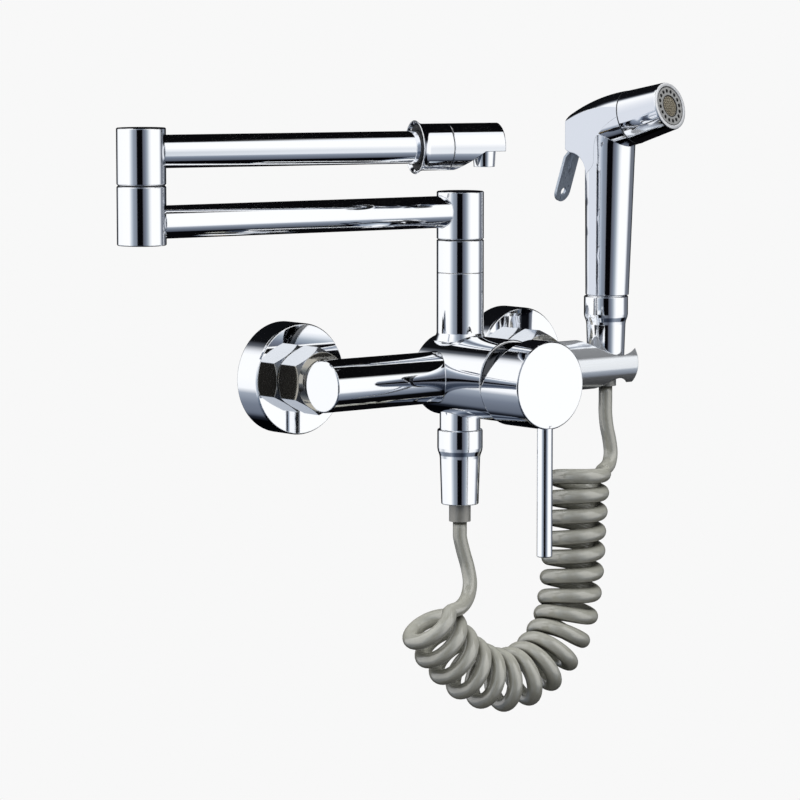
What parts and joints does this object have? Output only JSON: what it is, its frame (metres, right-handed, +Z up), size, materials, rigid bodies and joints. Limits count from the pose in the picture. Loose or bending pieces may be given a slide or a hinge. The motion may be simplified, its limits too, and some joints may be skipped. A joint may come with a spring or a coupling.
{
  "type": "wall-mounted kitchen mixer with hand spray",
  "caption": "Chrome wall mixer with a lever, a folding two-arm spout and a trigger hand spray on a curly hose, parked in a slot at the end of the bar.",
  "frame": {"origin": "on the wall plane, midway between the two inlets, at the height of the bar's axis", "axes": "+Z up, +X to the right when facing the wall, -Y out of the wall into the room"},
  "size_m": [0.316, 0.1405, 0.3279],
  "materials": {
    "chrome": "mirror-polished chrome on brass",
    "brass": "turned brass",
    "rubber": "matte rubber",
    "slip_ring": "matte acetal",
    "cartridge_plastic": "matte",
    "steel": "stainless",
    "trigger_steel": "stamped stainless plate",
    "hose_grey": "glossy warm-grey PVC",
    "screen": "matte",
    "mesh": "woven wire filter"
  },
  "bodies": {
    "body": {"mixer_body": "chrome", "flange_left": "chrome", "flange_right": "chrome", "wall_union_left": "brass", "wall_union_right": "brass", "union_nut_left": "chrome", "union_nut_right": "chrome", "union_washers": "rubber", "cartridge": "cartridge_plastic", "cartridge_nut": "brass", "trim_dome": "chrome", "spout_pivot": "brass", "spout_orings": "rubber", "swivel_collar": "chrome", "spout_washer": "slip_ring", "outlet_hose_nut": "chrome", "outlet_ferrule": "hose_grey", "outlet_washer": "rubber", "curly_hose": "hose_grey"},
    "carrier": {"stem_carrier": "cartridge_plastic", "stem_pin": "steel"},
    "handle": {"control_stem": "brass", "handle_cap": "chrome", "lever_rod": "chrome"},
    "lower_arm": {"swivel_head": "chrome", "lower_arm_tube": "chrome", "elbow_base": "chrome", "elbow_pivot": "brass", "elbow_orings": "rubber", "elbow_washer": "slip_ring"},
    "upper_arm": {"elbow_top": "chrome", "upper_arm_tube": "chrome", "outlet_nut": "chrome", "outlet_head": "chrome", "aerator_shell": "chrome", "aerator_screen": "screen"},
    "spray": {"spray_hose_nut": "chrome", "spray_ferrule": "hose_grey", "spray_washer": "rubber", "spray_inlet": "chrome", "spray_body": "chrome", "spray_barrel": "chrome", "spray_plate": "chrome", "spray_screen": "mesh", "valve_seat": "brass", "trigger_pin": "steel", "valve_spring": "steel"},
    "valve": {"valve_stem": "brass"},
    "trigger": {"trigger": "trigger_steel"}
  },
  "joints": [
    {"name": "handle_turn", "type": "hinge", "parent": "body", "child": "carrier", "pos_m": [0, -0.0955, 0], "axis": [0, 1, 0], "range_deg": [-45, 45]},
    {"name": "handle_lift", "type": "hinge", "parent": "carrier", "child": "handle", "pos_m": [0, -0.0955, 0], "axis": [-1, 0, 0], "range_deg": [0, 25]},
    {"name": "spout_swivel", "type": "hinge", "parent": "body", "child": "lower_arm", "pos_m": [0, -0.053, 0.0843], "axis": [0, 0, 1], "range_deg": [-3, 110]},
    {"name": "elbow_swivel", "type": "hinge", "parent": "lower_arm", "child": "upper_arm", "pos_m": [-0.18284, -0.02828, 0.1188], "axis": [0, 0, 1], "range_deg": [-190, 5]},
    {"name": "spray_lift", "type": "slide", "parent": "body", "child": "spray", "axis": [0, 0, 1], "range_m": [0, 0.12]},
    {"name": "trigger_press", "type": "hinge", "parent": "spray", "child": "trigger", "pos_m": [0.09961, -0.0387, 0.116], "axis": [-0.9863, -0.165, 0], "range_deg": [0, 12], "stiffness_Nm_per_rad": 0.5, "springref_deg": -5.73},
    {"name": "valve_travel", "type": "slide", "parent": "spray", "child": "valve", "axis": [0, 0, 1], "range_m": [0, 0.003], "deforming": ["valve_spring"]}
  ],
  "couplings": [
    {"joint": "trigger_press", "follows": "valve_travel", "rad_per_m": 69}
  ]
}
